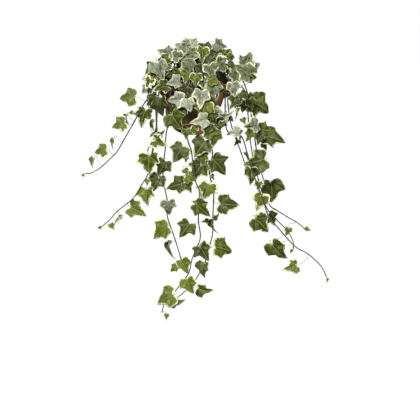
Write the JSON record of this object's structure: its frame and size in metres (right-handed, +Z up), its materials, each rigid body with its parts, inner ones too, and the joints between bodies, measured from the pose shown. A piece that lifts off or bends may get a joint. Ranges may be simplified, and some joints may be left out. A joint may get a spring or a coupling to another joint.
{
  "type": "potted ivy in a hanging pot",
  "caption": "Variegated ivy with cream-edged lobed leaves, trailing on thin stems from a small tapered hanging pot.",
  "frame": {"origin": "middle of the pot's rim plane", "axes": "+Z up along the pot's axis, +X to the right and +Y away as the picture shows the plant"},
  "size_m": [0.4958, 0.2464, 0.5655],
  "materials": {
    "pot_plastic": "satin",
    "soil": "matt",
    "ivy_leaf": "satin"
  },
  "bodies": {
    "root": {"pot": "pot_plastic", "shoot_back": "ivy_leaf", "shoot_back_left": "ivy_leaf", "shoot_back_right": "ivy_leaf", "shoot_front_left": "ivy_leaf", "shoot_front_right": "ivy_leaf", "shoot_left": "ivy_leaf", "shoot_left_back": "ivy_leaf", "shoot_left_low": "ivy_leaf", "shoot_middle": "ivy_leaf", "shoot_right": "ivy_leaf", "shoot_top": "ivy_leaf", "shoot_top_right": "ivy_leaf", "soil": "soil", "stem_back": "ivy_leaf", "stem_back_left": "ivy_leaf", "stem_back_right": "ivy_leaf", "stem_front": "ivy_leaf", "stem_front_left": "ivy_leaf", "stem_front_right": "ivy_leaf", "stem_left": "ivy_leaf", "stem_left_back": "ivy_leaf", "stem_left_front": "ivy_leaf", "stem_right": "ivy_leaf", "stem_right_back": "ivy_leaf", "stem_right_front": "ivy_leaf"}
  },
  "joints": []
}
